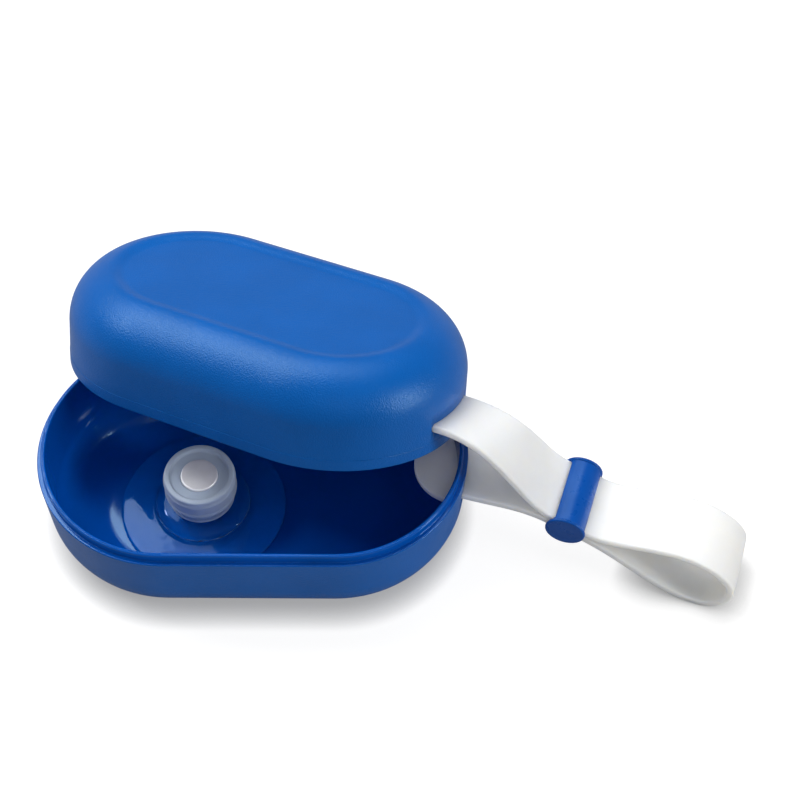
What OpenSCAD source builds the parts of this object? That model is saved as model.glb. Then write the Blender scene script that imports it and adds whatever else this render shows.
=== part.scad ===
/* [Box] */
// Length of the base and the lid
body_l = 120; // [112:1:136]
// Width of the base and the lid
body_w = 74; // [70:1:82]
// Height of the base, from the table to the ledge that the closed lid sits on
base_h = 31; // [28:1:38]
// Height of the lid, from its rim to its crest
lid_h = 28; // [25:1:34]
// Thickness of the side walls
wall_t = 2.5; // [2:0.1:3]
// Thickness of the base's floor and of the lid's roof
floor_t = 2.4; // [1.8:0.1:3]
// Radius of the rounding round the base's lower edge
base_round = 16; // [12:1:17]
// Radius of the rounding round the lid's upper edge
lid_round = 15.5; // [12:0.5:16.5]
// How far the base's side wall leans in on its way down to the table
base_draft = 1; // [0.5:0.1:1.5]
// How far the lid's side wall leans in on its way up to the crest
lid_draft = 0.5; // [0.3:0.1:1]

/* [Rim] */
// Width of the ledge outside the base's lip
ledge_w = 1.35; // [1.2:0.05:1.5]
// Height of the lip above the ledge
lip_h = 2.8; // [2:0.1:4]
// Clearance between the closed lid's skirt and the lip
lid_gap = 0.2; // [0.1:0.05:0.3]
// Bevel on the lip's upper edges
lip_bevel = 0.3; // [0.1:0.05:0.4]

/* [Lid panel] */
// Width of the sunken panel on the lid, at the middle of its sloping step
panel_w = 46.5; // [38:0.5:48]
// Depth of the sunken panel below the crest
panel_depth = 1.3; // [0.8:0.1:2]
// Width of the sloping step round the panel
panel_step = 5; // [2:0.5:6]

/* [Open lid] */
// How far the middle of the open lid lies past the middle of the base, to the strap end
lid_shift = 2.1; // [0:0.1:4]
// How far the open lid is set back behind the base's middle
lid_back = 26.2; // [25:0.1:28]
// Turn of the open lid about the vertical
lid_yaw = -27; // [-28:0.5:-25]
// Rise of the open lid towards its strap end
lid_pitch = -8.7; // [-9.5:0.1:-7]
// Tilt of the open lid towards its back edge
lid_roll = -23; // [-24:0.1:-21]
// Clearance between the open lid's rim and the lip that it leans on
lean_gap = 0.3; // [0.2:0.1:0.8]

/* [Holder] */
// How far the holder stands from the middle of the base, away from the strap
holder_offset = 16.1; // [12:0.1:17.5]
// How far the holder stands in front of the middle of the base
holder_front = 1; // [0:0.1:1.2]
// Diameter of the suction cup
cup_d = 47.8; // [44:0.2:50]
// Diameter of the ring that the suction cup stands on
cup_seal_d = 38.8; // [34:0.2:39]
// Diameter of the suction cup's dome
cup_dome_d = 28.6; // [24:0.2:30]
// Height of the suction cup up to the shoulder that the knob sits on
cup_h = 5.7; // [5:0.1:7]
// Thickness of the suction cup's thin skirt
cup_skirt_t = 0.8; // [0.6:0.1:1.2]
// Diameter of the stem that the knob is pressed on
stem_d = 8; // [6:0.5:10]
// Length of the stem
stem_l = 3.6; // [3:0.1:4]
// Height of the knob
knob_h = 11.6; // [10.6:0.2:13]
// Height of the knob's top ring
knob_cap_h = 2.2; // [1.8:0.1:3]
// Diameter of the knob at its foot
knob_foot_d = 18.8; // [17:0.2:20]
// Diameter of the knob half way up, where it is widest
knob_belly_d = 20.9; // [20:0.1:22]
// Diameter of the knob's top ring
knob_top_d = 20; // [19:0.2:22]
// Number of rings round the knob
knob_rings = 3; // [2:1:4]
// Depth of the grooves between the rings
knob_groove = 0.4; // [0.2:0.1:0.7]
// Width of the raised rim round the knob's top
knob_rim_w = 1.5; // [1.2:0.1:2]
// Depth of the knob's top inside the rim
knob_dish = 1; // [0.6:0.1:1.4]
// Diameter of the magnet
magnet_d = 10.6; // [8:0.2:11.5]
// Thickness of the magnet
magnet_t = 4; // [3:0.5:4.5]
// How far the magnet stands out of the knob's dished top
magnet_proud = 0.6; // [0.3:0.1:0.8]
// Clearance round the stem and the magnet in the knob
holder_fit = 0.05; // [0.02:0.01:0.1]

/* [Strap] */
// Width of the strap
strap_w = 19.5; // [16:0.5:21]
// Thickness of the strap
strap_t = 2.2; // [1.8:0.1:2.6]
// Diameter of the rounded head that stops the strap inside each shell
head_d = 25; // [23:0.5:27]
// Length of the head
head_l = 12.5; // [12:0.5:16]
// Height of the slots above and below the line where the box parts
slot_rise = 7.5; // [7:0.5:9]
// Clearance between the strap and what it passes through
strap_gap = 0.25; // [0.2:0.05:0.4]
// Length of the loop, from the slider's middle to its far end
loop_l = 49.3; // [44:0.5:60]
// Height of the loop above the table
loop_h = 23.5; // [21:0.5:26]

/* [Slider] */
// Distance from the base's end to the middle of the slider
slider_out = 29.9; // [28:0.1:34]
// How far the slider lies in front of the base's middle
slider_front = 10; // [9:0.5:11]
// Height of the slider's middle above the table
slider_z = 21.6; // [21:0.1:24]
// Turn of the slider about the vertical
slider_yaw = -17.5; // [-18.5:0.5:-16.5]
// Dip of the slider towards the loop
slider_dip = 22; // [18:1:24]
// Diameter of the slider's tube
slider_d = 10.6; // [9.6:0.1:11]
// Diameter of the slider's end discs
disc_d = 11.3; // [11.2:0.1:13]
// Thickness of the slider's end discs
disc_t = 1; // [0.8:0.1:1.6]

/* [Hidden] */
$fn = 96;
end_r = body_w / 2;
spine = body_l / 2 - end_r;
lip_r = end_r - ledge_w;
inner_r = end_r - wall_t;
slot_w = strap_w + 2 * strap_gap;
slot_h = strap_t + 2 * strap_gap;
slot_cut = 6 * wall_t;
layer_offset = (strap_t + strap_gap) / 2;
slider_l = slot_w + 2 * disc_t;
holder_at = [-holder_offset, -holder_front, floor_t];

// Turns of a point about the three axes
function about_x(p, a) = [p.x, p.y * cos(a) - p.z * sin(a), p.y * sin(a) + p.z * cos(a)];
function about_y(p, a) = [p.x * cos(a) + p.z * sin(a), p.y, p.z * cos(a) - p.x * sin(a)];
function about_z(p, a) = [p.x * cos(a) - p.y * sin(a), p.x * sin(a) + p.y * cos(a), p.z];
function unit(v) = v / norm(v);
function ease(t) = t * t * (3 - 2 * t);

// A direction in the lid, as the open lid turns it
function lid_turned(p) = about_z(about_y(about_x(p, lid_roll), lid_pitch), lid_yaw);

// Distance of a point from the line through the middles of the two round ends
function from_spine(p) = norm([p.x - max(-spine, min(spine, p.x)), p.y]);

// The open lid leans on the lip: its rim is as low as the lip and the ledge let it be
rim_edge = [for (r = [end_r, end_r - ledge_w + lid_gap], side = [-1, 1], a = [-90:1:90])
    lid_turned([side * (spine + r * cos(a)), r * sin(a), 0])
        + [lid_shift, lid_back, 0]];
rim_line = [for (r = [end_r, end_r - ledge_w + lid_gap], side = [-1, 1], x = [-spine:0.5:spine])
    lid_turned([x, side * r, 0]) + [lid_shift, lid_back, 0]];
function seat_z(p) =
    from_spine(p) > lip_r + lid_gap ? (from_spine(p) > end_r + lean_gap ? 0 : base_h - p.z)
    : from_spine(p) < inner_r - lid_gap ? 0 : base_h + lip_h - p.z;
lid_z = lean_gap + max([for (p = concat(rim_edge, rim_line)) seat_z(p)]);
lid_at = [lid_shift, lid_back, lid_z];
lid_x = lid_turned([1, 0, 0]);
lid_y = lid_turned([0, 1, 0]);

// Directions at the slider: along the strap, across it, and away from its face
flat_dir = about_z([1, 0, 0], slider_yaw);
across = about_z([0, 1, 0], slider_yaw);
dip_dir = about_z(about_y([1, 0, 0], slider_dip), slider_yaw);
face_dir = cross(dip_dir, across);
slider_at = [body_l / 2 + slider_out, -slider_front, slider_z];

// The strap's way: from its head in the base, through the slider, round the loop and back
base_slot = [body_l / 2 - wall_t, 0, base_h - slot_rise];
lid_slot = [body_l / 2, 0, slot_rise];
lid_slot_out = lid_at + lid_turned(lid_slot);
straight = 1.5;
in_slider = slider_d / 2;
head_tip = base_slot - flat_dir * head_l;
base_exit = base_slot + flat_dir * (wall_t + straight);
low_in = slider_at - face_dir * layer_offset - dip_dir * in_slider;
low_out = slider_at - face_dir * layer_offset + dip_dir * in_slider;
high_out = slider_at + face_dir * layer_offset + dip_dir * in_slider;
high_in = slider_at + face_dir * layer_offset - dip_dir * in_slider;
foot_in = 9;
tip_rise = 0.42;
top_out = 0.64;
loop_foot = [slider_at.x, slider_at.y, strap_t / 2] + flat_dir * (loop_l - foot_in);
loop_tip = [slider_at.x, slider_at.y, loop_h * tip_rise] + flat_dir * (loop_l - strap_t / 2);
loop_top = [slider_at.x, slider_at.y, loop_h - strap_t / 2] + flat_dir * (loop_l * top_out);
lid_exit = lid_slot_out + lid_x * straight;
lid_tip = lid_slot_out - lid_x * (wall_t + head_l);
up = [0, 0, 1];

// Each stretch: start, its handle, the end's handle, end, number of steps
stretches = [
    [base_exit, flat_dir * 8, dip_dir * 9, low_in, 12],
    [low_in, dip_dir * 3, dip_dir * 3, low_out, 2],
    [low_out, dip_dir * 16, flat_dir * 12, loop_foot, 12],
    [loop_foot, flat_dir * 4, up * 5, loop_tip, 8],
    [loop_tip, up * 6.5, -flat_dir * 8, loop_top, 10],
    [loop_top, -flat_dir * 10, -dip_dir * 8, high_out, 10],
    [high_out, -dip_dir * 3, -dip_dir * 3, high_in, 2],
    [high_in, -dip_dir * 10, -lid_x * 17, lid_exit, 16]
];
function curve_at(s, t) =
    s[0] * pow(1 - t, 3) + 3 * (s[0] + s[1]) * t * pow(1 - t, 2)
    + 3 * (s[3] - s[2]) * t * t * (1 - t) + s[3] * pow(t, 3);
function curve_dir(s, t) =
    unit(s[1] * pow(1 - t, 2) + 2 * (s[3] - s[2] - s[0] - s[1]) * t * (1 - t) + s[2] * t * t);
function turn_share(i, t) = i < len(stretches) - 1 ? 0 : ease(t);
function blend_across(k) = unit(across * (1 - k) + lid_y * k);

// Half the width of the strap at a distance from its rounded tip
function head_half(d) = d < head_d / 2 ? sqrt(pow(head_d / 2, 2) - pow(head_d / 2 - d, 2)) : head_d / 2;

// How far it is to the inside of a round end wall, to one side of the strap's middle line. The
// distance is measured d back from the slot, where the strap's way is turned by an angle.
head_clear = 0.4;
function wall_reach(d, turn, side) =
    let (p = [end_r - wall_t - d * cos(turn), -d * sin(turn)], way = side * [-sin(turn), cos(turn)],
        r = inner_r - max(base_draft, lid_draft) - head_clear)
    max(0, sqrt(max(0, pow(p * way, 2) - p * p + r * r)) - p * way);

// The head's edge keeps inside the round end wall, and the strap's own edge goes on to the slot
function edge_at(d, turn, side) =
    min(head_half(head_l - d), max(strap_w / 2, wall_reach(d, turn, side)));
head_shares = [0.02, 0.07, 0.15, 0.26, 0.4, 0.55, 0.67, 0.76, 0.83, 0.89, 0.93, 0.97];
head_depths = [for (t = head_shares) head_l * (1 - t)];

// Rings of the strap: middle, direction, across, edge on one side, edge on the other
rings = concat(
    [for (d = head_depths)
        [base_slot - flat_dir * d, flat_dir, across,
            edge_at(d, slider_yaw, 1), edge_at(d, slider_yaw, -1)]],
    [for (i = [0:len(stretches) - 1], k = [0:stretches[i][4] - 1])
        let (t = k / stretches[i][4])
        [curve_at(stretches[i], t), curve_dir(stretches[i], t),
            blend_across(turn_share(i, t)), strap_w / 2, strap_w / 2]],
    [[lid_exit, -lid_x, lid_y, strap_w / 2, strap_w / 2]],
    [for (i = [len(head_depths) - 1:-1:0])
        [lid_tip + lid_x * (head_l - head_depths[i]), -lid_x, lid_y,
            edge_at(head_depths[i], 0, 1), edge_at(head_depths[i], 0, -1)]]
);
edge = 0.5;
function ring_points(r) =
    let (n = unit(cross(r[1], r[2])), a = r[3], b = r[4], t = strap_t / 2)
    [for (c = [[a, t - edge], [a - edge, t], [edge - b, t], [-b, t - edge],
        [-b, edge - t], [edge - b, -t], [a - edge, -t], [a, edge - t]])
        r[0] + r[2] * c.x + n * c.y];
sides = 8;

module strap() {
    last = (len(rings) - 1) * sides;
    color("whitesmoke")
    polyhedron(
        points = [for (r = rings) each ring_points(r)],
        faces = concat(
            [for (j = [1:sides - 2]) [0, j, j + 1]],
            [for (i = [0:len(rings) - 2], j = [0:sides - 1]) each
                let (a = i * sides + j, b = i * sides + (j + 1) % sides)
                [[a, a + sides, b], [b, a + sides, b + sides]]],
            [for (j = [1:sides - 2]) [last, last + j + 1, last + j]]
        )
    );
}

// Points of an arc about c
function arc(c, r, from, to, steps) =
    [for (i = [0:steps]) let (a = from + (to - from) * i / steps) c + r * [cos(a), sin(a)]];

// A body with two round ends, from its profile to the right of the middle line
module oval(profile) {
    for (side = [0, 180])
        rotate([0, 0, side])
        translate([spine, 0, 0])
        rotate([0, 0, -90])
        rotate_extrude(angle = 180)
        polygon(profile);
    rotate([90, 0, 90])
    translate([0, 0, -spine])
    linear_extrude(2 * spine)
    polygon(concat(profile, [for (i = [len(profile) - 1:-1:0]) [-profile[i].x, profile[i].y]]));
}

// Side and rounded edge of a shell: r at the rim, lean inwards, height, radius, overall height
round_steps = 12;
function shell_side(r, draft, h, round_r) =
    let (lean = atan(draft / h), t = round_r * tan((90 - lean) / 2))
    concat([[0, 0]], arc([r - draft - t, round_r], round_r, -90, -lean, round_steps));

// Outside of the base, from the middle of its foot up to the top of its lip
module base_outside() {
    oval(concat(
        shell_side(end_r, base_draft, base_h, base_round),
        [[end_r, base_h], [lip_r, base_h], [lip_r, base_h + lip_h - lip_bevel],
            [lip_r - lip_bevel, base_h + lip_h], [0, base_h + lip_h]]
    ));
}

// Hollow of the base, past its lip
module base_inside() {
    top = base_h + lip_h;
    translate([0, 0, floor_t])
    oval(concat(
        shell_side(inner_r, base_draft, top - floor_t, base_round - floor_t),
        [[inner_r, top - floor_t - lip_bevel], [inner_r + lip_bevel, top - floor_t],
            [inner_r + lip_bevel, top], [0, top]]
    ));
}

module base_tub() {
    color("royalblue")
    difference() {
        base_outside();
        base_inside();
        translate(base_slot)
        rotate([0, 0, slider_yaw])
        cube([slot_cut, slot_w, slot_h], center = true);
    }
}

// The lid as it is drawn, with its rim on the table and its crest upwards
module lid_closed() {
    roof = lid_h - panel_depth - floor_t;
    skirt_r = lip_r + lid_gap;
    skirt_h = lip_h + lid_gap;
    difference() {
        translate([0, 0, lid_h])
        mirror([0, 0, 1])
        oval(concat(
            shell_side(end_r, lid_draft, lid_h, lid_round),
            [[end_r, lid_h], [0, lid_h]]
        ));
        translate([0, 0, roof])
        mirror([0, 0, 1])
        oval(concat(
            shell_side(inner_r, lid_draft, roof, lid_round - wall_t),
            [[inner_r, roof - skirt_h], [skirt_r, roof - skirt_h], [skirt_r, roof + 1], [0, roof + 1]]
        ));
        translate([0, 0, lid_h - panel_depth])
        oval(concat(
            [[0, 0]],
            [for (t = [0:0.125:1]) [(panel_w - panel_step) / 2 + panel_step * t, panel_depth * ease(t)]],
            [[(panel_w + panel_step) / 2, panel_depth + 1], [0, panel_depth + 1]]
        ));
        translate(lid_slot)
        cube([slot_cut, slot_w, slot_h], center = true);
    }
}

module lid_shell() {
    color("royalblue")
    translate(lid_at)
    rotate([lid_roll, lid_pitch, lid_yaw])
    lid_closed();
}

module strap_slider() {
    color("mediumblue")
    translate(slider_at)
    rotate([0, slider_dip, slider_yaw])
    difference() {
        rotate([90, 0, 0])
        union() {
            cylinder(h = slider_l, d = slider_d, center = true);
            for (side = [-1, 1])
                translate([0, 0, side * (slider_l - disc_t) / 2])
                cylinder(h = disc_t, d = disc_d, center = true);
        }
        cube([disc_d + 2, slot_w, 2 * (layer_offset + strap_t / 2 + strap_gap)], center = true);
    }
}

// Half the cup's profile, from the middle of its hollow outwards and back over the top
module suction_cup() {
    seal_r = cup_seal_d / 2;
    cup_r = cup_d / 2;
    dome_r = cup_dome_d / 2;
    stem_r = stem_d / 2;
    hollow_h = 1.8;
    seal_bevel = 1.6;
    tip_rise = 1.4;
    skirt_fall = 0.4;
    dome_foot = 2 + cup_skirt_t;
    shoulder_r = knob_foot_d / 2 - 1.2;
    shoulder_drop = 0.6;
    color("aliceblue", 0.6)
    translate(holder_at)
    rotate_extrude()
    polygon([
        [0, hollow_h], [dome_r * 0.6, hollow_h - 0.2], [dome_r, hollow_h * 0.6],
        [seal_r - seal_bevel, 0], [seal_r, 0], [cup_r, tip_rise],
        [cup_r, tip_rise + cup_skirt_t], [cup_r - 0.5, tip_rise + cup_skirt_t + 0.1],
        [seal_r, tip_rise + cup_skirt_t - skirt_fall], [dome_r + 0.6, dome_foot - 0.4], [dome_r, dome_foot],
        [dome_r - 2.2, dome_foot + 1.6], [shoulder_r + 0.8, cup_h - shoulder_drop], [shoulder_r, cup_h],
        [stem_r, cup_h], [stem_r, cup_h + stem_l], [0, cup_h + stem_l]
    ]);
}

// The knob swells towards its middle and is grooved under each ring
module knob() {
    foot_r = knob_foot_d / 2;
    top_r = knob_top_d / 2;
    swell = 2 * (knob_belly_d / 2) - (foot_r + top_r) / 2;
    function side_at(z) =
        let (t = z / knob_h)
        foot_r * pow(1 - t, 2) + 2 * swell * t * (1 - t) + top_r * t * t;
    ring_h = knob_rings > 1 ? (knob_h - knob_cap_h) / (knob_rings - 1) : knob_h;
    rim_bevel = 0.4;
    dish_r = top_r - knob_rim_w;
    dish_z = knob_h - knob_dish;
    pocket_r = magnet_d / 2 + holder_fit;
    color("azure", 0.8)
    translate(holder_at + [0, 0, cup_h])
    difference() {
        rotate_extrude()
        polygon(concat(
            [[0, 0]],
            [for (i = [0:knob_rings - 1]) each
                let (low = i * ring_h, high = min(knob_h - rim_bevel, low + ring_h))
                [[side_at(low) - knob_groove, low], [side_at(low), low + knob_groove],
                    [side_at((low + high) / 2), (low + high) / 2],
                    [side_at(high) - (i < knob_rings - 1 ? knob_groove : 0), high]]],
            [[top_r - rim_bevel, knob_h], [dish_r + rim_bevel, knob_h], [dish_r, knob_h - rim_bevel],
                [dish_r - rim_bevel, dish_z], [0, dish_z]]
        ));
        translate([0, 0, -1])
        cylinder(h = 1 + stem_l + 4 * holder_fit, r = stem_d / 2 + holder_fit);
        translate([0, 0, dish_z + magnet_proud - magnet_t])
        cylinder(h = magnet_t, r = pocket_r);
    }
}

module magnet() {
    color("silver")
    translate(holder_at + [0, 0, cup_h + knob_h - knob_dish + magnet_proud - magnet_t])
    cylinder(h = magnet_t, d = magnet_d);
}

base_tub();
lid_shell();
strap();
strap_slider();
suction_cup();
knob();
magnet();
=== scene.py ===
import math
import bpy
import bmesh
from mathutils import Matrix, Vector
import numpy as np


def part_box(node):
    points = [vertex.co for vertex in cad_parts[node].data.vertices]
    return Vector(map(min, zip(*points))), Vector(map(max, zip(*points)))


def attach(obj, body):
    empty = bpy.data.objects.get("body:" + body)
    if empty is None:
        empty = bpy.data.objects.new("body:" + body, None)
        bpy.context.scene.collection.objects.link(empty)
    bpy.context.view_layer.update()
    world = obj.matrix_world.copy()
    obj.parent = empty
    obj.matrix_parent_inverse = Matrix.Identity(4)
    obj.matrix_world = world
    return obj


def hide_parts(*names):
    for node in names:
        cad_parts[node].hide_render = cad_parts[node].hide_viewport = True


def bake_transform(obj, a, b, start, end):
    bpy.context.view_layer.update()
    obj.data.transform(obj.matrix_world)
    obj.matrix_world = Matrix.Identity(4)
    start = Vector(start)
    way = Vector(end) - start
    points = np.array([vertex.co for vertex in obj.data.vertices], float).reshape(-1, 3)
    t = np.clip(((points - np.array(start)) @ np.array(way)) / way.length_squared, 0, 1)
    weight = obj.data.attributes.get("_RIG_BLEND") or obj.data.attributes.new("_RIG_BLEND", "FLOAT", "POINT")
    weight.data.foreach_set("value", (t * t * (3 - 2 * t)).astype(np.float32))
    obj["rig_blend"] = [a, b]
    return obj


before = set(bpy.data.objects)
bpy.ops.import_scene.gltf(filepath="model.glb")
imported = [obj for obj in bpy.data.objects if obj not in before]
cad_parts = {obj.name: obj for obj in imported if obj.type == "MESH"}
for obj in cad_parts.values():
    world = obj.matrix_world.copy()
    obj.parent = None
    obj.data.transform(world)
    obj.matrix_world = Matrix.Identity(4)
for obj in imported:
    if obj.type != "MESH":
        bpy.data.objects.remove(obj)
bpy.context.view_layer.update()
MM = 0.001


# Camera: the photograph was taken from above and in front, a little to the right of the box,
# with a long lens, so that the box shows little perspective.
camera_place = Vector((36.86, -253.01, 422.99)) * MM
camera_dip = math.radians(55.42)
camera_heading = math.radians(-0.86)
camera_roll = math.radians(1.09)
camera_lens = 75.18
camera_sensor = 36.0

look = Vector((math.sin(-camera_heading) * math.cos(camera_dip),
               math.cos(camera_heading) * math.cos(camera_dip),
               -math.sin(camera_dip)))
level_right = Vector((math.cos(camera_heading), math.sin(camera_heading), 0.0))
level_up = level_right.cross(look)
camera_right = level_right * math.cos(camera_roll) + level_up * math.sin(camera_roll)
camera_up = level_up * math.cos(camera_roll) - level_right * math.sin(camera_roll)

camera_data = bpy.data.cameras.new("camera")
camera_data.lens = camera_lens
camera_data.sensor_width = camera_sensor
camera_data.sensor_fit = "HORIZONTAL"
camera_data.clip_start = 0.01
camera_data.clip_end = 20.0
camera = bpy.data.objects.new("camera", camera_data)
bpy.context.scene.collection.objects.link(camera)
camera.matrix_world = Matrix((
    (camera_right.x, camera_up.x, -look.x, camera_place.x),
    (camera_right.y, camera_up.y, -look.y, camera_place.y),
    (camera_right.z, camera_up.z, -look.z, camera_place.z),
    (0.0, 0.0, 0.0, 1.0)))
bpy.context.scene.camera = camera


# Base tub: the lower shell, injection moulded in blue polypropylene. Its outside is spark-eroded
# matte, its inside and the raised lip are polished. The strap leaves through a slot in one end.
body_l = 120 * MM
body_w = 74 * MM
base_h = 31 * MM
wall_t = 2.5 * MM
floor_t = 2.4 * MM
base_round = 16 * MM
base_draft = 1 * MM
ledge_w = 1.35 * MM
lip_h = 2.8 * MM
end_r = body_w / 2
spine = body_l / 2 - end_r
lip_r = end_r - ledge_w
inner_r = end_r - wall_t
strap_w = 19.5 * MM
strap_t = 2.2 * MM
strap_gap = 0.25 * MM
strap_yaw = math.radians(-17.5)
slot_w = strap_w + 2 * strap_gap
slot_h = strap_t + 2 * strap_gap
slot_rise = 7.5 * MM
slot_round = 0.7 * MM
slot_cut = 6 * wall_t
arc_density = 4
support_share = 0.35
support_most = 0.5 * MM
one_point = 0.002 * MM


def rounded(corners):
    """Profile points from (r, z, radius) corners: each corner becomes an arc, with a close point on
    either side so that the flat stretches next to it stay flat when they are shaded smooth."""
    points = []
    for i, (r, z, radius) in enumerate(corners):
        here = Vector((r, z))
        if radius == 0:
            points.append(here)
            continue
        before = (Vector(corners[i - 1][:2]) - here).normalized()
        after = (Vector(corners[(i + 1) % len(corners)][:2]) - here).normalized()
        half = before.angle(after) / 2
        reach = radius / math.tan(half)
        middle = here + (before + after).normalized() * radius / math.sin(half)
        start = here + before * reach - middle
        turn = start.angle_signed(here + after * reach - middle)
        steps = max(arc_density, round(abs(turn) * math.sqrt(radius / MM) * arc_density))
        support = min(radius * support_share, support_most)
        points.append(here + before * (reach + support))
        for k in range(steps + 1):
            a = -turn * k / steps
            points.append(middle + Vector((start.x * math.cos(a) - start.y * math.sin(a),
                                           start.x * math.sin(a) + start.y * math.cos(a))))
        points.append(here + after * (reach + support))
    return points


class NodeTree:
    """A geometry node tree with named inputs, built node by node."""

    def __init__(self, name, inputs):
        self.tree = bpy.data.node_groups.new(name, "GeometryNodeTree")
        sockets = self.tree.interface
        sockets.new_socket("Geometry", in_out="INPUT", socket_type="NodeSocketGeometry")
        for label, kind in inputs:
            sockets.new_socket(label, in_out="INPUT", socket_type="NodeSocket" + kind)
        sockets.new_socket("Geometry", in_out="OUTPUT", socket_type="NodeSocketGeometry")
        self.source = self.tree.nodes.new("NodeGroupInput")

    def given(self, label):
        return self.source.outputs[label]

    def add(self, kind, sockets, **settings):
        node = self.tree.nodes.new(kind)
        for key, value in settings.items():
            setattr(node, key, value)
        for key, value in sockets.items():
            self.feed(node.inputs[key], value)
        return node

    def feed(self, socket, value):
        if isinstance(value, bpy.types.NodeSocket):
            self.tree.links.new(value, socket)
        else:
            socket.default_value = value

    def math(self, operation, a, b=0.0):
        return self.add("ShaderNodeMath", {0: a, 1: b}, operation=operation).outputs[0]

    def vector(self, operation, a, b=(0.0, 0.0, 0.0)):
        return self.add("ShaderNodeVectorMath", {0: a, 1: b}, operation=operation).outputs[0]

    def scaled(self, a, factor):
        node = self.add("ShaderNodeVectorMath", {0: a}, operation="SCALE")
        self.feed(node.inputs["Scale"], factor)
        return node.outputs[0]

    def parts(self, a):
        return self.add("ShaderNodeSeparateXYZ", {0: a}).outputs

    def joined(self, x=0.0, y=0.0, z=0.0):
        return self.add("ShaderNodeCombineXYZ", {0: x, 1: y, 2: z}).outputs[0]

    def keep(self, geometry, label):
        """Stores where each point is now, under a name."""
        here = self.add("GeometryNodeInputPosition", {}).outputs[0]
        return self.add("GeometryNodeStoreNamedAttribute",
                        {"Geometry": geometry, "Name": label, "Value": here},
                        data_type="FLOAT_VECTOR", domain="POINT").outputs[0]

    def kept(self, label, data_type="FLOAT_VECTOR"):
        return self.add("GeometryNodeInputNamedAttribute", {"Name": label},
                        data_type=data_type).outputs[0]

    def finish(self, geometry):
        """Smooth shading, plain geometry and the material, then out."""
        smooth = self.add("GeometryNodeSetShadeSmooth", {"Geometry": geometry}).outputs[0]
        plain = self.add("GeometryNodeRealizeInstances", {"Geometry": smooth}).outputs[0]
        done = self.add("GeometryNodeSetMaterial",
                        {"Geometry": plain, "Material": self.given("Material")}).outputs[0]
        self.add("NodeGroupOutput", {"Geometry": done})
        return self.tree


def plain_mesh(piece):
    """Applies the piece's modifiers, drops faces without area and turns the rest outwards."""
    bpy.context.view_layer.update()
    graph = bpy.context.evaluated_depsgraph_get()
    done = bpy.data.meshes.new_from_object(piece.evaluated_get(graph))
    piece.modifiers.clear()
    piece.data = done
    done.name = piece.name
    mesh = bmesh.new()
    mesh.from_mesh(done)
    bmesh.ops.dissolve_degenerate(mesh, edges=mesh.edges, dist=one_point)
    bmesh.ops.recalc_face_normals(mesh, faces=mesh.faces)
    mesh.to_mesh(done)
    mesh.free()


def grown(name, points, edges, tree, values, attributes=()):
    """A piece that a node tree makes from a line of points with named attributes."""
    line = bpy.data.meshes.new(name)
    line.from_pydata(points, edges, [])
    for label, kind, data in attributes:
        store = line.attributes.new(label, kind, "POINT")
        for item, value in zip(store.data, data):
            if kind == "FLOAT_VECTOR":
                item.vector = value
            else:
                item.value = value
    piece = bpy.data.objects.new(name, line)
    bpy.context.scene.collection.objects.link(piece)
    modifier = piece.modifiers.new("shape", "NODES")
    modifier.node_group = tree
    for item in tree.interface.items_tree:
        if item.in_out == "INPUT" and item.name in values:
            modifier[item.identifier] = values[item.name]
    plain_mesh(piece)
    for label in [a.name for a in piece.data.attributes if a.name.startswith("at_")]:
        piece.data.attributes.remove(piece.data.attributes[label])
    return piece


def oval_shell_tree():
    """Carries a half profile, drawn as (radius, height), round an oval with two round ends."""
    shell = NodeTree("oval_shell", [
        ("Spine Half Length", "Float"), ("End Radius", "Float"), ("End Points", "Int"),
        ("Path Points", "Int"), ("Merge Distance", "Float"), ("Material", "Material")])
    spine_half, radius = shell.given("Spine Half Length"), shell.given("End Radius")
    profile = shell.add("GeometryNodeMeshToCurve",
                        {"Mesh": shell.keep(shell.given("Geometry"), "at_profile")}).outputs[0]
    width = shell.math("MULTIPLY", radius, 2.0)
    length = shell.math("ADD", width, shell.math("MULTIPLY", spine_half, 2.0))
    box = shell.add("GeometryNodeCurvePrimitiveQuadrilateral", {"Width": length, "Height": width})
    oval = shell.add("GeometryNodeFilletCurve", {
        "Curve": box.outputs[0], "Count": shell.given("End Points"), "Radius": radius},
        mode="POLY")
    even = shell.add("GeometryNodeResampleCurve",
                     {"Curve": oval.outputs[0], "Count": shell.given("Path Points")})
    path = shell.keep(even.outputs[0], "at_path")
    swept = shell.add("GeometryNodeCurveToMesh",
                      {"Curve": path, "Profile Curve": profile}).outputs[0]
    there = shell.kept("at_path")
    back = shell.math("MULTIPLY", spine_half, -1.0)
    along = shell.math("MINIMUM", shell.math("MAXIMUM", shell.parts(there)["X"], back), spine_half)
    spine_point = shell.joined(x=along)
    outwards = shell.vector("NORMALIZE", shell.vector("SUBTRACT", there, spine_point))
    drawn = shell.parts(shell.kept("at_profile"))
    level = shell.vector("ADD", spine_point, shell.scaled(outwards, drawn["X"]))
    raised = shell.vector("ADD", level, shell.joined(z=drawn["Y"]))
    placed = shell.add("GeometryNodeSetPosition", {"Geometry": swept, "Position": raised})
    merged = shell.add("GeometryNodeMergeByDistance",
                       {"Geometry": placed.outputs[0], "Distance": shell.given("Merge Distance")})
    return shell.finish(merged.outputs[0])


def oval_shell(name, profile, material):
    """A shell from its half profile, a list of (radius, height) points."""
    points = [(p.x, p.y, 0.0) for p in profile]
    edges = [(i, i + 1) for i in range(len(points) - 1)]
    return grown(name, points, edges, shell_tree, {
        "Spine Half Length": spine, "End Radius": end_r, "End Points": 60, "Path Points": 240,
        "Merge Distance": 0.005 * MM, "Material": material})


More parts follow.
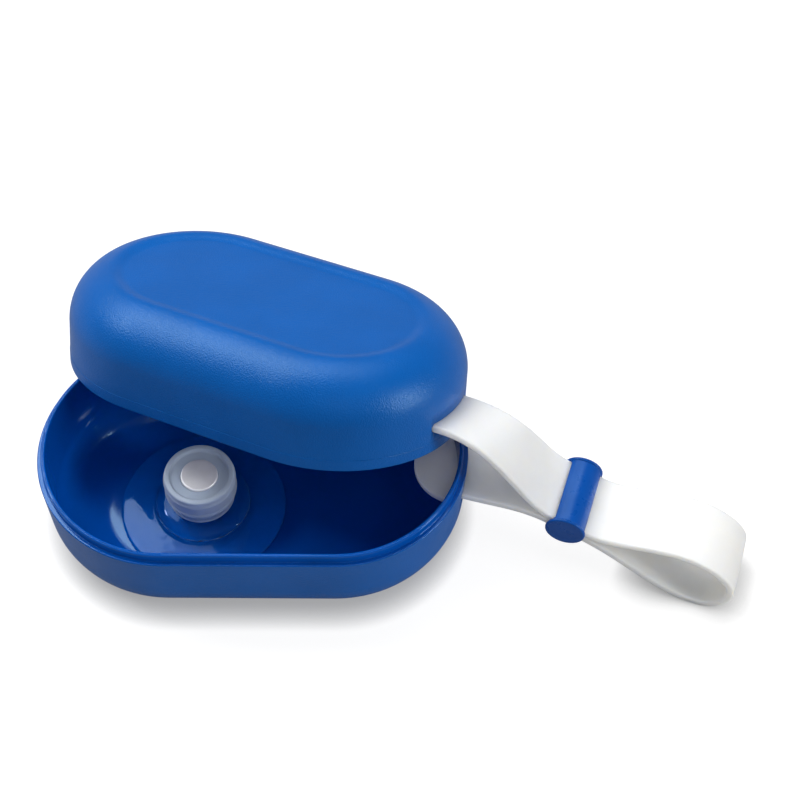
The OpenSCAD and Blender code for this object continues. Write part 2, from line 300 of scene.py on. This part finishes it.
def cut_bar(piece, size, radius, place):
    """Cuts a slot through the piece with a bar along X whose four long edges are rounded."""
    mesh = bmesh.new()
    bmesh.ops.create_cube(mesh, size=1.0)
    bmesh.ops.scale(mesh, vec=size, verts=mesh.verts)
    along = [e for e in mesh.edges if abs((e.verts[0].co - e.verts[1].co).x) > size[0] / 2]
    bmesh.ops.bevel(mesh, geom=along, offset=radius, segments=4, affect="EDGES")
    bmesh.ops.transform(mesh, matrix=place, verts=mesh.verts)
    data = bpy.data.meshes.new("slot_bar")
    mesh.to_mesh(data)
    mesh.free()
    bar = bpy.data.objects.new("slot_bar", data)
    bpy.context.scene.collection.objects.link(bar)
    boolean = piece.modifiers.new("slot", "BOOLEAN")
    boolean.object = bar
    boolean.operation = "DIFFERENCE"
    boolean.solver = "EXACT"
    plain_mesh(piece)
    bpy.data.objects.remove(bar, do_unlink=True)


class Finish:
    """A material on the piece's own coordinates: slow patches of colour, a raised grain."""

    def __init__(self, name, **settings):
        self.material = bpy.data.materials.new(name)
        self.material.use_nodes = True
        self.nodes = self.material.node_tree.nodes
        self.links = self.material.node_tree.links
        self.shader = self.nodes["Principled BSDF"]
        self.place = self.nodes.new("ShaderNodeTexCoord").outputs["Object"]
        for key, value in settings.items():
            self.shader.inputs[key.replace("_", " ")].default_value = value

    def noise(self, size, detail=2.0):
        """Noise whose features are about this size, in metres."""
        node = self.nodes.new("ShaderNodeTexNoise")
        node.inputs["Scale"].default_value = 1.0 / size
        node.inputs["Detail"].default_value = detail
        self.links.new(self.place, node.inputs["Vector"])
        return node.outputs["Fac"]

    def ramp(self, source, low, high, start=0.35, end=0.65):
        """A colour from low to high as the source goes from start to end."""
        node = self.nodes.new("ShaderNodeValToRGB")
        node.color_ramp.elements[0].position = start
        node.color_ramp.elements[0].color = low
        node.color_ramp.elements[1].position = end
        node.color_ramp.elements[1].color = high
        self.links.new(source, node.inputs["Fac"])
        return node.outputs["Color"]

    def patches(self, low, high, size):
        self.links.new(self.ramp(self.noise(size, 3.0), (*low, 1.0), (*high, 1.0)),
                       self.shader.inputs["Base Color"])

    def uneven_gloss(self, low, high, size):
        self.links.new(self.ramp(self.noise(size, 3.0), (low,) * 3 + (1.0,), (high,) * 3 + (1.0,)),
                       self.shader.inputs["Roughness"])

    def grain(self, *layers):
        """Raised grain in layers of (feature size, height), both in metres."""
        normal = None
        for size, height in layers:
            bump = self.nodes.new("ShaderNodeBump")
            bump.inputs["Distance"].default_value = height
            self.links.new(self.noise(size), bump.inputs["Height"])
            if normal:
                self.links.new(normal, bump.inputs["Normal"])
            normal = bump.outputs["Normal"]
        self.links.new(normal, self.shader.inputs["Normal"])


blue_sheen = (0.5, 0.8, 1.0, 1.0)
blue_matte = Finish("blue_matte_plastic", IOR=1.45, Roughness=0.31, Specular_Tint=blue_sheen)
blue_matte.patches((0.0006, 0.114, 0.47), (0.0008, 0.124, 0.51), 16 * MM)
blue_matte.uneven_gloss(0.28, 0.34, 9 * MM)
blue_matte.grain((0.42 * MM, 0.12 * MM))
blue_polished = Finish("blue_polished_plastic", IOR=1.45, Roughness=0.08,
                       Specular_Tint=blue_sheen)
blue_polished.patches((0.0005, 0.09, 0.46), (0.0007, 0.1, 0.52), 20 * MM)
blue_polished.uneven_gloss(0.06, 0.13, 14 * MM)
blue_polished.grain((12 * MM, 0.03 * MM), (0.8 * MM, 0.003 * MM))

shell_tree = oval_shell_tree()
base_tub = oval_shell("base_shell", rounded([
    (0, 0, 0),
    (end_r - base_draft, 0, base_round),
    (end_r, base_h, 0.3 * MM),
    (lip_r, base_h, 0.25 * MM),
    (lip_r, base_h + lip_h, 0.45 * MM),
    (inner_r, base_h + lip_h, 0.45 * MM),
    (inner_r - base_draft, floor_t, base_round - floor_t),
    (0, floor_t, 0)]), blue_matte.material)
base_slot = Vector((body_l / 2 - wall_t, 0, base_h - slot_rise))
cut_bar(base_tub, (slot_cut, slot_w, slot_h), slot_round,
        Matrix.Translation(base_slot) @ Matrix.Rotation(strap_yaw, 4, "Z"))


def off_spine(p):
    """The level way from the middle line of an oval shell to a point."""
    return Vector((p.x - max(-spine, min(spine, p.x)), p.y, 0.0))


def polish(shell, is_polished):
    """Gives the polished plastic to the faces that the test picks by their place and facing."""
    shell.data.materials.append(blue_polished.material)
    for face in shell.data.polygons:
        face.material_index = 1 if is_polished(face.center, face.normal) else 0


def base_polished(place, facing):
    """The floor, the inner wall and the raised lip."""
    floor = facing.z > 0.3 and place.z < base_h - lip_h
    wall = off_spine(place).dot(facing) < 0
    lip = place.z > base_h - 0.1 * MM
    return floor or wall or lip


polish(base_tub, base_polished)
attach(base_tub, "base")
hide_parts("base_tub")


# Lid: the upper shell, moulded as the base is. Its skirt goes over the base's lip when the box is
# closed. Its top has a sunken panel with a soft step all round. Here it lies open, on the lip.
lid_h = 28 * MM
lid_round = 15.5 * MM
lid_draft = 0.5 * MM
lid_gap = 0.2 * MM
panel_w = 46.5 * MM
panel_depth = 1.3 * MM
panel_step = 5 * MM
panel_crest = 0.8 * MM
panel_flat = 0.5 * MM
panel_reach = 1.6
band_h = 3.2 * MM
band_step = 0.1 * MM
lid_yaw = math.radians(-27)
lid_pitch = math.radians(-8.7)
lid_roll = math.radians(-23)

lid_roof = lid_h - panel_depth - floor_t
skirt_r = lip_r + lid_gap
skirt_h = lip_h + lid_gap
lean = math.atan(lid_draft / lid_h)
crest_r = end_r - lid_draft - lid_round * math.tan((math.pi / 2 - lean) / 2)
crest_z = lid_h - lid_round
panel_in = (panel_w - panel_step) / 2
shoulder_steps = 44
panel_steps = 48


def ease(t):
    """A share from 0 to 1 that starts and ends softly."""
    t = max(0.0, min(1.0, t))
    return t * t * (3 - 2 * t)


def lid_top(r):
    """Height of the lid's outside: the rounded shoulder and the panel, softly joined."""
    shoulder = crest_z + math.sqrt(max(0.0, lid_round ** 2 - max(0.0, r - crest_r) ** 2))
    panel = lid_h - panel_depth * (1 - ease((r - panel_in) / panel_step))
    nearer = max(0.0, min(1.0, 0.5 + (panel - shoulder) / (2 * panel_crest)))
    soft = panel_crest * nearer * (1 - nearer)
    return panel * (1 - nearer) + shoulder * nearer - soft


def on_shoulder(angle):
    """A point of the rounded shoulder, by its angle above the level."""
    return Vector((crest_r + lid_round * math.cos(angle), crest_z + lid_round * math.sin(angle)))


def lid_outside():
    """The lid's shoulder from the wall up, then its top from the shoulder to the middle."""
    edge = panel_in + panel_reach * panel_step
    inner = panel_in - panel_flat
    stop = math.acos((edge - crest_r) / lid_round)
    points = [on_shoulder(lean + (stop - lean) * k / shoulder_steps)
              for k in range(shoulder_steps)]
    for k in range(panel_steps + 1):
        r = edge + (inner - edge) * k / panel_steps
        points.append(Vector((r, lid_top(r))))
    return points + [Vector((0, lid_h - panel_depth))]


wall_end = on_shoulder(lean)
lid_shell = oval_shell("lid_cover", rounded([
    (0, lid_roof, 0),
    (inner_r - lid_draft, lid_roof, lid_round - wall_t),
    (inner_r, skirt_h, 0.25 * MM),
    (skirt_r, skirt_h, 0.2 * MM),
    (skirt_r, 0, 0.3 * MM),
    (end_r, 0, 0.3 * MM),
    (end_r, band_h, 0.25 * MM),
    (end_r - band_step, band_h + 2 * band_step, 0.25 * MM),
    (wall_end.x, wall_end.y - 0.4 * MM, 0)]) + lid_outside(), blue_matte.material)
cut_bar(lid_shell, (slot_cut, slot_w, slot_h), slot_round,
        Matrix.Translation((body_l / 2, 0, slot_rise)))


def lid_polished(place, facing):
    """The underside of the roof and the inner wall."""
    away = off_spine(place)
    roof = facing.z < -0.4 and place.z > 1 * MM
    wall = away.dot(facing) < -0.3 * away.length
    return (roof or wall) and place.z <= lid_roof + floor_t / 2


polish(lid_shell, lid_polished)

lid_turn = (Matrix.Rotation(lid_yaw, 4, "Z") @ Matrix.Rotation(lid_pitch, 4, "Y")
            @ Matrix.Rotation(lid_roll, 4, "X"))
lid_shell.data.transform(lid_turn)
lid_low = Vector([min(v.co[k] for v in lid_shell.data.vertices) for k in range(3)])
lid_high = Vector([max(v.co[k] for v in lid_shell.data.vertices) for k in range(3)])
cad_low, cad_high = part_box("lid_shell")
lid_at = (cad_low + cad_high - lid_low - lid_high) / 2
lid_shell.data.transform(Matrix.Translation(lid_at))
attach(lid_shell, "lid")
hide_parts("lid_shell")


# Strap: one flat band of white matte silicone. A rounded head inside each shell, wider than the
# slot, stops it. From the base it runs through the slider, round the loop and back to the lid.
head_d = 25 * MM
head_l = 12.5 * MM
head_clear = 0.4 * MM
loop_l = 49.3 * MM
loop_h = 23.5 * MM
foot_in = 9 * MM
tip_rise = 0.42
top_out = 0.64
straight = 1.5 * MM
base_pulls = (8 * MM, 9 * MM)
foot_pulls = (16 * MM, 12 * MM)
tip_pulls = (4 * MM, 5 * MM)
top_pulls = (6.5 * MM, 8 * MM)
back_pulls = (10 * MM, 8 * MM)
lid_pulls = (10 * MM, 17 * MM)
break_in = 0.8 * MM
edge_round = 0.55 * MM
head_steps = 39
head_tip = 0.0015
head_span = 0.97
nearest_rings = 0.01 * MM
lid_bend = 9 * MM
slider_at = Vector((body_l / 2 + 29.9 * MM, -10 * MM, 21.6 * MM))
slider_dip = math.radians(22)
slider_d = 10.6 * MM

up = Vector((0, 0, 1))
strap_turn = Matrix.Rotation(strap_yaw, 3, "Z")
flat_dir = strap_turn @ Vector((1, 0, 0))
across = strap_turn @ Vector((0, 1, 0))
dip_dir = strap_turn @ Matrix.Rotation(slider_dip, 3, "Y") @ Vector((1, 0, 0))
face_dir = dip_dir.cross(across)
lid_x = lid_turn.to_3x3() @ Vector((1, 0, 0))
lid_y = lid_turn.to_3x3() @ Vector((0, 1, 0))
lid_slot_out = lid_at + lid_turn.to_3x3() @ Vector((body_l / 2, 0, slot_rise))
lid_slot_in = lid_slot_out - lid_x * wall_t
layer_offset = (strap_t + strap_gap) / 2
half_in = dip_dir * slider_d / 2
base_exit = base_slot + flat_dir * (wall_t + straight)
low_in = slider_at - face_dir * layer_offset - half_in
low_out = slider_at - face_dir * layer_offset + half_in
high_out = slider_at + face_dir * layer_offset + half_in
high_in = slider_at + face_dir * layer_offset - half_in
under_slider = Vector((slider_at.x, slider_at.y, 0))
loop_foot = under_slider + flat_dir * (loop_l - foot_in) + up * strap_t / 2
loop_tip = under_slider + flat_dir * (loop_l - strap_t / 2) + up * loop_h * tip_rise
loop_top = under_slider + flat_dir * loop_l * top_out + up * (loop_h - strap_t / 2)
lid_exit = lid_slot_out + lid_x * straight


def head_edge(d, turn, side):
    """Half the head's width on one side, d back from the slot. It keeps inside the round wall."""
    tip_d, r = head_l - d, head_d / 2
    arc = math.sqrt(max(0.0, r * r - (r - tip_d) ** 2)) if tip_d < r else r
    x, y = end_r - wall_t - d * math.cos(turn), -d * math.sin(turn)
    way = Vector((-side * math.sin(turn), side * math.cos(turn)))
    lean_in = way.x * x + way.y * y
    wall_r = inner_r - base_draft - head_clear
    reach = max(0.0, math.sqrt(max(0.0, lean_in ** 2 - x * x - y * y + wall_r ** 2)) - lean_in)
    return min(arc, max(strap_w / 2, reach))


def head_rings(slot, way, side, turn):
    """Rings of a head from its rounded tip to the slot."""
    rings = []
    for k in range(head_steps + 1):
        done = 1 - math.cos(math.pi / 2 * k / head_steps)
        d = head_l * (1 - head_tip - head_span * done)
        rings.append((slot - way * d, way, side, head_edge(d, turn, 1), head_edge(d, turn, -1)))
    return rings


def run_rings(start, way_out, end, way_in, pulls, steps, side_from=across, side_to=across):
    """Rings along one curve that leaves the start along way_out and meets the end along way_in,
    pulled out that far at either end. The strap's width turns from side_from to side_to."""
    rings = []
    b, c = start + way_out * pulls[0], end - way_in * pulls[1]
    for k in range(steps + 1):
        t = k / steps
        u = 1 - t
        place = start * u ** 3 + b * 3 * t * u * u + c * 3 * t * t * u + end * t ** 3
        way = (b - start) * u * u + (c - b) * 2 * t * u + (end - c) * t * t
        side = (side_from * (1 - ease(t)) + side_to * ease(t)).normalized()
        rings.append((place, way.normalized(), side, strap_w / 2, strap_w / 2))
    return rings


def one_ring(place, way, side):
    """A single ring of the plain strap, to start or end a stretch."""
    return [(place, way, side, strap_w / 2, strap_w / 2)]


def strap_tree():
    """A flat band with rounded edges along a line of points. Each point carries the band's
    sideways direction, the direction of its face, and the place of its two edges."""
    band = NodeTree("flat_strap", [
        ("Thickness", "Float"), ("Edge Rounding", "Float"), ("Section Points", "Int"),
        ("Nominal Width", "Float"), ("Material", "Material")])
    nominal, rounding = band.given("Nominal Width"), band.given("Edge Rounding")
    line = band.add("GeometryNodeMeshToCurve",
                    {"Mesh": band.keep(band.given("Geometry"), "at_middle")}).outputs[0]
    box = band.add("GeometryNodeCurvePrimitiveQuadrilateral",
                   {"Width": nominal, "Height": band.given("Thickness")})
    section = band.add("GeometryNodeFilletCurve",
                       {"Curve": box.outputs[0], "Count": 8, "Radius": rounding}, mode="POLY")
    even = band.add("GeometryNodeResampleCurve",
                    {"Curve": section.outputs[0], "Count": band.given("Section Points")})
    profile = band.keep(even.outputs[0], "at_section")
    swept = band.add("GeometryNodeCurveToMesh",
                     {"Curve": line, "Profile Curve": profile, "Fill Caps": True}).outputs[0]
    drawn = band.parts(band.kept("at_section"))
    core = band.math("SUBTRACT", band.math("MULTIPLY", nominal, 0.5), rounding)
    back = band.math("MULTIPLY", core, -1.0)
    flat = band.math("MINIMUM", band.math("MAXIMUM", drawn["X"], back), core)
    share = band.math("DIVIDE", flat, core)
    width_at = band.math("SUBTRACT", drawn["X"], flat)
    for label, limit in (("at_edge_plus", "MAXIMUM"), ("at_edge_minus", "MINIMUM")):
        reach = band.math("SUBTRACT", band.kept(label, "FLOAT"), rounding)
        one_side = band.math("MULTIPLY", band.math(limit, share), band.math("MAXIMUM", reach))
        width_at = band.math("ADD", width_at, one_side)
    level = band.vector("ADD", band.kept("at_middle"),
                        band.scaled(band.kept("at_side"), width_at))
    place = band.vector("ADD", level, band.scaled(band.kept("at_face"), drawn["Y"]))
    placed = band.add("GeometryNodeSetPosition", {"Geometry": swept, "Position": place})
    return band.finish(placed.outputs[0])


def strap_piece(name, *stretches):
    """One length of the strap through the rings of its stretches."""
    rings = []
    for ring in (r for stretch in stretches for r in stretch):
        if not rings or (ring[0] - rings[-1][0]).length > nearest_rings:
            rings.append(ring)
    edges = [(i, i + 1) for i in range(len(rings) - 1)]
    piece = grown(name, [r[0] for r in rings], edges, flat_strap_tree, {
        "Thickness": strap_t, "Edge Rounding": edge_round, "Section Points": 200,
        "Nominal Width": strap_w, "Material": silicone.material}, [
        ("at_side", "FLOAT_VECTOR", [r[2] for r in rings]),
        ("at_face", "FLOAT_VECTOR", [r[1].cross(r[2]).normalized() for r in rings]),
        ("at_edge_plus", "FLOAT", [r[3] for r in rings]),
        ("at_edge_minus", "FLOAT", [r[4] for r in rings])])
    for face in piece.data.polygons:
        is_cap = len(face.vertices) > 4
        if is_cap:
            face.use_smooth = False
    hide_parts("strap")
    return piece


silicone = Finish("white_silicone", IOR=1.41, Roughness=0.5, Subsurface_Weight=1.0,
                  Subsurface_Radius=(1.0, 0.9, 0.75), Subsurface_Scale=5 * MM)
silicone.patches((0.83, 0.825, 0.805), (0.86, 0.855, 0.835), 12 * MM)
silicone.grain((0.6 * MM, 0.01 * MM), (6 * MM, 0.03 * MM))
flat_strap_tree = strap_tree()
low_middle = (low_in + low_out) / 2
high_middle = (high_in + high_out) / 2
lid_run = run_rings(high_in, -dip_dir, lid_exit, -lid_x, lid_pulls, 60, across, lid_y)
run_break = high_in + dip_dir * break_in

base_run = strap_piece(
    "strap_base_run",
    head_rings(base_slot, flat_dir, across, strap_yaw),
    run_rings(base_exit, flat_dir, low_in, dip_dir, base_pulls, 36),
    one_ring(low_middle, dip_dir, across))
loop = strap_piece(
    "strap_loop",
    one_ring(low_middle, dip_dir, across),
    run_rings(low_out, dip_dir, loop_foot, flat_dir, foot_pulls, 48),
    run_rings(loop_foot, flat_dir, loop_tip, up, tip_pulls, 22),
    run_rings(loop_tip, up, loop_top, -flat_dir, top_pulls, 30),
    run_rings(loop_top, -flat_dir, high_out, -dip_dir, back_pulls, 40),
    one_ring(high_middle, -dip_dir, across))
lid_run_low = strap_piece(
    "strap_lid_run_low", one_ring(high_middle, -dip_dir, across),
    one_ring(run_break, -dip_dir, across))
lid_run_high = strap_piece(
    "strap_lid_run_high", one_ring(run_break, -dip_dir, across), lid_run,
    reversed([(p, -w, s, a, b) for p, w, s, a, b in head_rings(lid_slot_in, lid_x, lid_y, 0.0)]))
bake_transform(base_run, "base", "slider", start=base_exit, end=low_in)
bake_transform(loop, "slider", "base", start=low_out, end=loop_tip)
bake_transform(lid_run_low, "slider", "base", start=high_middle, end=run_break)
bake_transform(lid_run_high, "base", "lid", start=lid_slot_out + lid_x * lid_bend, end=lid_slot_out)


# Slider: a blue spool with two end discs. Both layers of the strap pass through a slot in its
# tube, between the discs, and friction holds it where it is pushed.
disc_d = 11.3 * MM
disc_t = 1 * MM
half_l = slot_w / 2 + disc_t
layers_h = 2 * (layer_offset + strap_t / 2 + strap_gap)


def turned(name, profile, finish, place, steps=96):
    """A round piece: the profile of (r, z) points turned about the Z axis, then placed."""
    mesh = bmesh.new()
    rings = [[mesh.verts.new((p.x * math.cos(2 * math.pi * k / steps),
                              p.x * math.sin(2 * math.pi * k / steps), p.y)) for p in profile]
             for k in range(steps)]
    for i, ring in enumerate(rings):
        following = rings[(i + 1) % steps]
        for j in range(len(profile) - 1):
            mesh.faces.new((ring[j], following[j], following[j + 1], ring[j + 1]))
    bmesh.ops.remove_doubles(mesh, verts=mesh.verts, dist=one_point)
    bmesh.ops.recalc_face_normals(mesh, faces=mesh.faces)
    bmesh.ops.transform(mesh, matrix=place, verts=mesh.verts)
    data = bpy.data.meshes.new(name)
    mesh.to_mesh(data)
    mesh.free()
    for face in data.polygons:
        face.use_smooth = True
    data.materials.append(finish.material)
    piece = bpy.data.objects.new(name, data)
    bpy.context.scene.collection.objects.link(piece)
    return piece


blue_satin = Finish("blue_satin_plastic", IOR=1.45, Roughness=0.3, Specular_Tint=blue_sheen)
blue_satin.patches((0.0006, 0.08, 0.42), (0.0008, 0.09, 0.46), 6 * MM)
blue_satin.uneven_gloss(0.26, 0.36, 4 * MM)
blue_satin.grain((0.9 * MM, 0.006 * MM))
spool = turned("strap_spool", rounded([
    (0, -half_l, 0),
    (disc_d / 2, -half_l, 0.45 * MM),
    (disc_d / 2, -half_l + disc_t, 0.3 * MM),
    (slider_d / 2, -half_l + disc_t, 0.1 * MM),
    (slider_d / 2, half_l - disc_t, 0.1 * MM),
    (disc_d / 2, half_l - disc_t, 0.3 * MM),
    (disc_d / 2, half_l, 0.45 * MM),
    (0, half_l, 0)]), blue_satin, Matrix.Rotation(math.pi / 2, 4, "X"))
cut_bar(spool, (2 * disc_d, slot_w, layers_h), 0.5 * MM, Matrix())
spool.data.transform(Matrix.Translation(slider_at) @ Matrix.Rotation(strap_yaw, 4, "Z")
                     @ Matrix.Rotation(slider_dip, 4, "Y"))
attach(spool, "slider")
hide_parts("strap_slider")


# Suction cup: turned in soft clear plastic, thin at its edge and domed in the middle. It clings
# to the polished floor and bends up with it at the sides. Its stem carries the knob.
holder_at = Vector((-16.1 * MM, -1 * MM, floor_t))
cup_d = 47.8 * MM
seal_d = 38.8 * MM
dome_d = 28.6 * MM
cup_h = 5.7 * MM
skirt_t = 0.8 * MM
cup_lift = 0.04 * MM
stem_d = 8 * MM
stem_l = 3.6 * MM
shoulder_r = 8.2 * MM

clear_soft = Finish("clear_soft_plastic", IOR=1.36, Roughness=0.05, Transmission_Weight=1.0,
                    Base_Color=(0.9, 0.95, 1.0, 1.0), Specular_Tint=(0.4, 0.65, 1.0, 1.0))
clear_soft.grain((9 * MM, 0.25 * MM), (2.5 * MM, 0.02 * MM))
cup = turned("suction_cup_clear", rounded([
    (0, 0, 0),
    (cup_d / 2, 0, 0.1 * MM),
    (cup_d / 2, skirt_t, 0.65 * MM),
    (seal_d / 2, skirt_t + 0.5 * MM, 6 * MM),
    (dome_d / 2, skirt_t + 1 * MM, 0.8 * MM),
    (dome_d / 2 - 0.7 * MM, cup_h * 0.49, 0.2 * MM),
    (dome_d / 2 - 2 * MM, cup_h * 0.72, 5.5 * MM),
    (shoulder_r + 0.4 * MM, cup_h * 0.88, 0.1 * MM),
    (shoulder_r, cup_h, 0.1 * MM),
    (stem_d / 2, cup_h, 0.2 * MM),
    (stem_d / 2, cup_h + stem_l, 0.4 * MM),
    (0, cup_h + stem_l, 0)]), clear_soft, Matrix.Translation(holder_at + up * cup_lift))
floor_bend = base_round - floor_t
wall_lean = math.atan(base_draft / (base_h + lip_h - floor_t))
floor_flat = inner_r - base_draft - floor_bend / math.tan((math.pi / 2 + wall_lean) / 2)
for vertex in cup.data.vertices:
    past = min(floor_bend, max(0.0, off_spine(vertex.co).length - floor_flat))
    vertex.co.z += floor_bend - math.sqrt(floor_bend ** 2 - past ** 2)
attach(cup, "holder")
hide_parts("suction_cup")


# Knob: frosted plastic, pressed on the cup's stem. It swells in the middle, has three rings to
# grip, and a raised rim round a dished top with the magnet in it.
knob_h = 11.6 * MM
knob_cap_h = 2.2 * MM
knob_foot_d = 18.8 * MM
knob_belly_d = 20.9 * MM
knob_top_d = 20 * MM
knob_rings = 3
knob_groove = 0.4 * MM
knob_rim_w = 1.5 * MM
knob_dish = 1 * MM
magnet_d = 10.6 * MM
magnet_t = 4 * MM
magnet_proud = 0.6 * MM
pocket_gap = 0.05 * MM


def knob_side(z):
    """Radius of the knob at a height, without its grooves."""
    t = z / knob_h
    swell = knob_belly_d - (knob_foot_d + knob_top_d) / 4
    return (knob_foot_d / 2) * (1 - t) ** 2 + 2 * swell * t * (1 - t) + (knob_top_d / 2) * t * t


ring_h = (knob_h - knob_cap_h) / (knob_rings - 1)
dish_r = knob_top_d / 2 - knob_rim_w
dish_z = knob_h - knob_dish
pocket_r = magnet_d / 2 + pocket_gap
pocket_z = dish_z + magnet_proud - magnet_t
bore_r = stem_d / 2 + pocket_gap
bore_z = stem_l + pocket_gap
knob_corners = [(0, bore_z, 0), (bore_r, bore_z, 0.2 * MM), (bore_r, 0.05 * MM, 0.2 * MM)]
for i in range(knob_rings):
    low = i * ring_h
    high = min(knob_h, low + ring_h)
    knob_corners += [(knob_side(low) - knob_groove, low + 0.05 * MM, 0.2 * MM),
                     (knob_side(low) + 0.05 * MM, low + 0.35 * MM, 0.15 * MM),
                     (knob_side(low) - 0.2 * MM, low + 0.85 * MM, 0.3 * MM)]
    if high < knob_h:
        knob_corners += [(knob_side(high) - 0.15 * MM, high - 0.45 * MM, 0.35 * MM)]
knob_corners += [
    (knob_top_d / 2, knob_h, 0.6 * MM),
    (dish_r, knob_h, 0.35 * MM),
    (dish_r - 0.3 * MM, dish_z, 0.5 * MM),
    (pocket_r, dish_z, 0.15 * MM),
    (pocket_r, pocket_z, 0.1 * MM),
    (0, pocket_z, 0)]
# The knob's grey is the frosted plastic's own. Its blue tint is painted, and stands in for the blue shells
# seen through the plastic.
frosted = Finish("frosted_plastic", IOR=1.4, Roughness=0.42, Transmission_Weight=0.35,
                 Base_Color=(0.52, 0.61, 0.74, 1.0), Subsurface_Weight=0.4,
                 Subsurface_Radius=(1.0, 1.0, 1.0), Subsurface_Scale=0.8 * MM)
frosted.grain((0.4 * MM, 0.008 * MM), (3 * MM, 0.02 * MM))
knob = turned("ribbed_knob", rounded(knob_corners), frosted,
              Matrix.Translation(holder_at + up * cup_h), steps=120)
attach(knob, "holder")
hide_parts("knob")


# Magnet: a nickel-plated disc pressed into the pocket in the knob's top, a little proud of it.
# Its edge is rounded, and its plating is satin and slightly uneven.
nickel = Finish("nickel_plate", Metallic=0.55, Roughness=0.45)
nickel.patches((0.9, 0.9, 0.91), (0.94, 0.94, 0.96), 3 * MM)
nickel.uneven_gloss(0.4, 0.5, 2 * MM)
nickel.grain((0.5 * MM, 0.006 * MM))
magnet = turned("magnet_disc", rounded([
    (0, 0, 0),
    (magnet_d / 2, 0, 0.3 * MM),
    (magnet_d / 2, magnet_t, 0.45 * MM),
    (0, magnet_t, 0)]), nickel, Matrix.Translation(holder_at + up * (cup_h + pocket_z)))
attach(magnet, "holder")
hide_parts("magnet")


# Table and light: a white table that runs on to a white background. Soft boxes stand behind, at
# both sides and in front, and one more in front lights the strap, the knob and the magnet alone.
# Glossy surfaces see the table and the room dimmed. Near the object the table's glow is darkened by ambient
# occlusion, which is a painted contact shadow.
table_white = Finish("white_table", Roughness=0.9, Emission_Color=(1.0, 1.0, 1.0, 1.0))
table_white.shader.inputs["Specular IOR Level"].default_value = 0.0


def by_ray(nodes, links, seen, mirrored, lighting):
    """One value for camera and transmission rays, one for glossy rays, one for rays that light."""
    path = nodes.new("ShaderNodeLightPath")
    through = nodes.new("ShaderNodeMath")
    through.operation = "MAXIMUM"
    links.new(path.outputs["Is Camera Ray"], through.inputs[0])
    links.new(path.outputs["Is Transmission Ray"], through.inputs[1])
    value = lighting
    for ray, level in ((path.outputs["Is Glossy Ray"], mirrored), (through.outputs[0], seen)):
        step = nodes.new("ShaderNodeMapRange")
        if value is lighting:
            step.inputs["To Min"].default_value = lighting
        else:
            links.new(value, step.inputs["To Min"])
        step.inputs["To Max"].default_value = level
        links.new(ray, step.inputs["Value"])
        value = step.outputs["Result"]
    return value


nodes, links = table_white.nodes, table_white.links
links.new(by_ray(nodes, links, seen=0.3, mirrored=0.22, lighting=0.6),
          table_white.shader.inputs["Base Color"])
# Painted contact shadow: ambient occlusion darkens the table's glow near the object and under the loop.
nearness = nodes.new("ShaderNodeAmbientOcclusion")
nearness.inputs["Distance"].default_value = 10 * MM
nearness.samples = 16
squared = nodes.new("ShaderNodeMath")
squared.operation = "MULTIPLY"
links.new(nearness.outputs["AO"], squared.inputs[0])
links.new(nearness.outputs["AO"], squared.inputs[1])
painted_contact_shadow = nodes.new("ShaderNodeMapRange")
for label, value in (("From Min", 0.15), ("From Max", 0.92), ("To Min", 0.3), ("To Max", 0.88)):
    painted_contact_shadow.inputs[label].default_value = value
links.new(squared.outputs[0], painted_contact_shadow.inputs["Value"])
glow = nodes.new("ShaderNodeMath")
glow.operation = "MULTIPLY"
links.new(by_ray(nodes, links, seen=1.0, mirrored=0.15, lighting=0.0), glow.inputs[0])
links.new(painted_contact_shadow.outputs["Result"], glow.inputs[1])
links.new(glow.outputs[0], table_white.shader.inputs["Emission Strength"])
table_size = 6.0
table_drop = 0.05 * MM
bpy.ops.mesh.primitive_plane_add(size=table_size, location=(0, 0, -table_drop))
table = bpy.context.object
table.name = "table"
table.data.materials.append(table_white.material)


lit_point = Vector((20, 0, 30)) * MM


def soft_light(name, heading, height, distance, size, power):
    """A soft box that looks at the object from a heading, clockwise from +Y, and a height above
    the level, both in degrees. Its distance and size are in metres, its power in watts."""
    a, h = math.radians(heading), math.radians(height)
    way = Vector((math.sin(a) * math.cos(h), math.cos(a) * math.cos(h), math.sin(h)))
    data = bpy.data.lights.new(name, "AREA")
    data.shape = "RECTANGLE"
    data.size, data.size_y = size
    data.energy = power
    lamp = bpy.data.objects.new(name, data)
    bpy.context.scene.collection.objects.link(lamp)
    lamp.location = lit_point + way * distance
    lamp.rotation_euler = (-way).to_track_quat("-Z", "Y").to_euler()
    return lamp


soft_light("left_box", heading=-48, height=49, distance=0.9,
           size=(0.5, 0.5), power=3.8)
soft_light("left_spark", heading=-75, height=40, distance=0.9,
           size=(0.12, 0.12), power=1.2)
soft_light("right_box", heading=110, height=20, distance=0.9,
           size=(0.24, 0.24), power=3.3)
soft_light("back_box", heading=-5, height=64, distance=1.0,
           size=(0.8, 0.5), power=3.5)
soft_light("front_fill", heading=170, height=50, distance=1.1,
           size=(0.6, 0.6), power=0.5)

pale_fill = soft_light("pale_fill", heading=188, height=42, distance=1.0,
                       size=(1.0, 1.0), power=2.2).light_linking
pale_fill.receiver_collection = bpy.data.collections.new("pale_pieces")
for piece in (base_run, loop, lid_run_low, lid_run_high, knob, magnet):
    pale_fill.receiver_collection.objects.link(piece)
pale_fill.blocker_collection = bpy.data.collections.new("blue_shells")
for piece in (base_tub, lid_shell):
    pale_fill.blocker_collection.objects.link(piece)

world = bpy.data.worlds.new("room")
bpy.context.scene.world = world
world.use_nodes = True
room = world.node_tree
background = room.nodes["Background"]
background.inputs["Color"].default_value = (1.0, 1.0, 1.0, 1.0)
room.links.new(by_ray(room.nodes, room.links, seen=1.0, mirrored=0.2, lighting=0.16),
               background.inputs["Strength"])
bpy.context.scene.view_settings.view_transform = "Standard"
